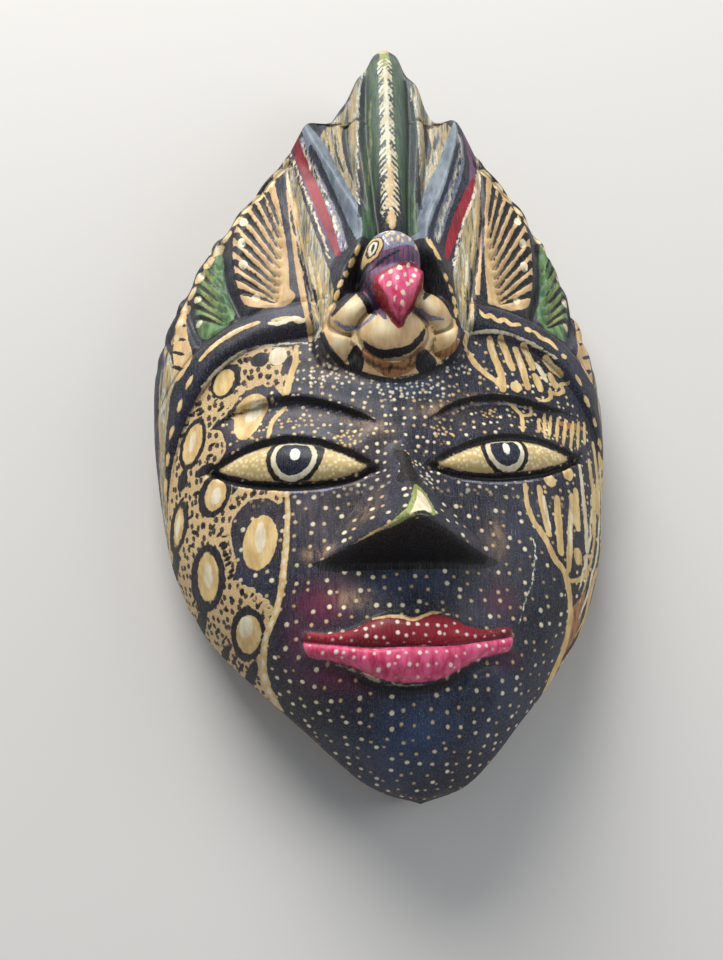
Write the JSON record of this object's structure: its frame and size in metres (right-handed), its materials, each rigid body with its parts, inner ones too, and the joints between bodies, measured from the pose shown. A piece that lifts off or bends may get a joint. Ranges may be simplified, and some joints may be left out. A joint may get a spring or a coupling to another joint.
{
  "type": "carved wooden mask",
  "caption": "Small carved wooden wall mask with a crown, raised crest, wings and bird's head, painted in a batik pattern, hollow behind.",
  "frame": {"origin": "centre of the bounding box, on the table that the mask lies on", "axes": "+Z out of the face, +Y from the chin to the crest, +X to the viewer's right"},
  "size_m": [0.1153, 0.2, 0.062],
  "materials": {
    "painted_wood": "batik painted and varnished, bare wood behind"
  },
  "bodies": {
    "root": {"mask": "painted_wood"}
  },
  "joints": []
}
